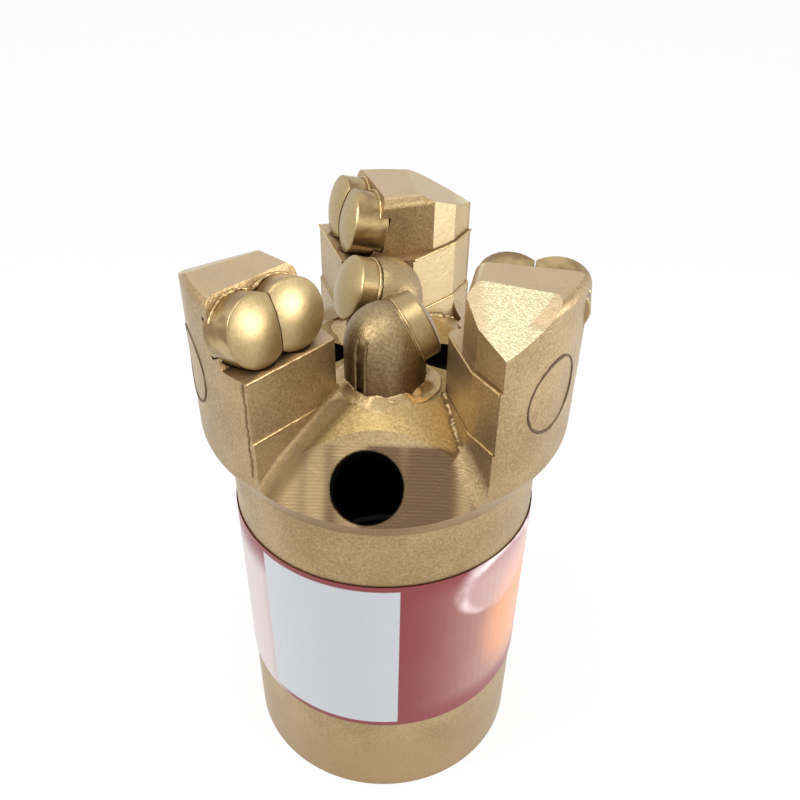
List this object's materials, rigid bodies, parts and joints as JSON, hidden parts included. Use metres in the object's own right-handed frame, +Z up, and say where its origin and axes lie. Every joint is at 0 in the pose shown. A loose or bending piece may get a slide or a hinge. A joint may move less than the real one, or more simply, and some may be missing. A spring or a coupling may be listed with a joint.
{
  "type": "pdc drill bit",
  "caption": "Gold painted drag bit with stepped wings, paired domed cutters, centre posts with cutters, water holes and a boxed shank.",
  "frame": {"origin": "at the height of the shank's open end, under the middle of the bit's outer box, which lies 1.8 mm behind the bit's axis", "axes": "+Z up along the bit from shank to wings, -Y towards the slope with the large water hole"},
  "size_m": [0.0922, 0.09, 0.1581],
  "materials": {
    "gold_painted_steel": "satin gold paint",
    "gold_painted_cutter": "smooth gold paint over ground compacts",
    "printed_label": "printed film"
  },
  "bodies": {
    "root": {"bit_body": "gold_painted_steel", "gauge_button_1": "gold_painted_cutter", "gauge_button_2": "gold_painted_cutter", "gauge_button_3": "gold_painted_cutter", "label": "printed_label", "pilot_cutter_1": "gold_painted_cutter", "pilot_cutter_2": "gold_painted_cutter", "pilot_post_1": "gold_painted_steel", "pilot_post_2": "gold_painted_steel", "wing_1_inner_cutter": "gold_painted_cutter", "wing_1_outer_cutter": "gold_painted_cutter", "wing_2_inner_cutter": "gold_painted_cutter", "wing_2_outer_cutter": "gold_painted_cutter", "wing_3_inner_cutter": "gold_painted_cutter", "wing_3_outer_cutter": "gold_painted_cutter"}
  },
  "joints": []
}
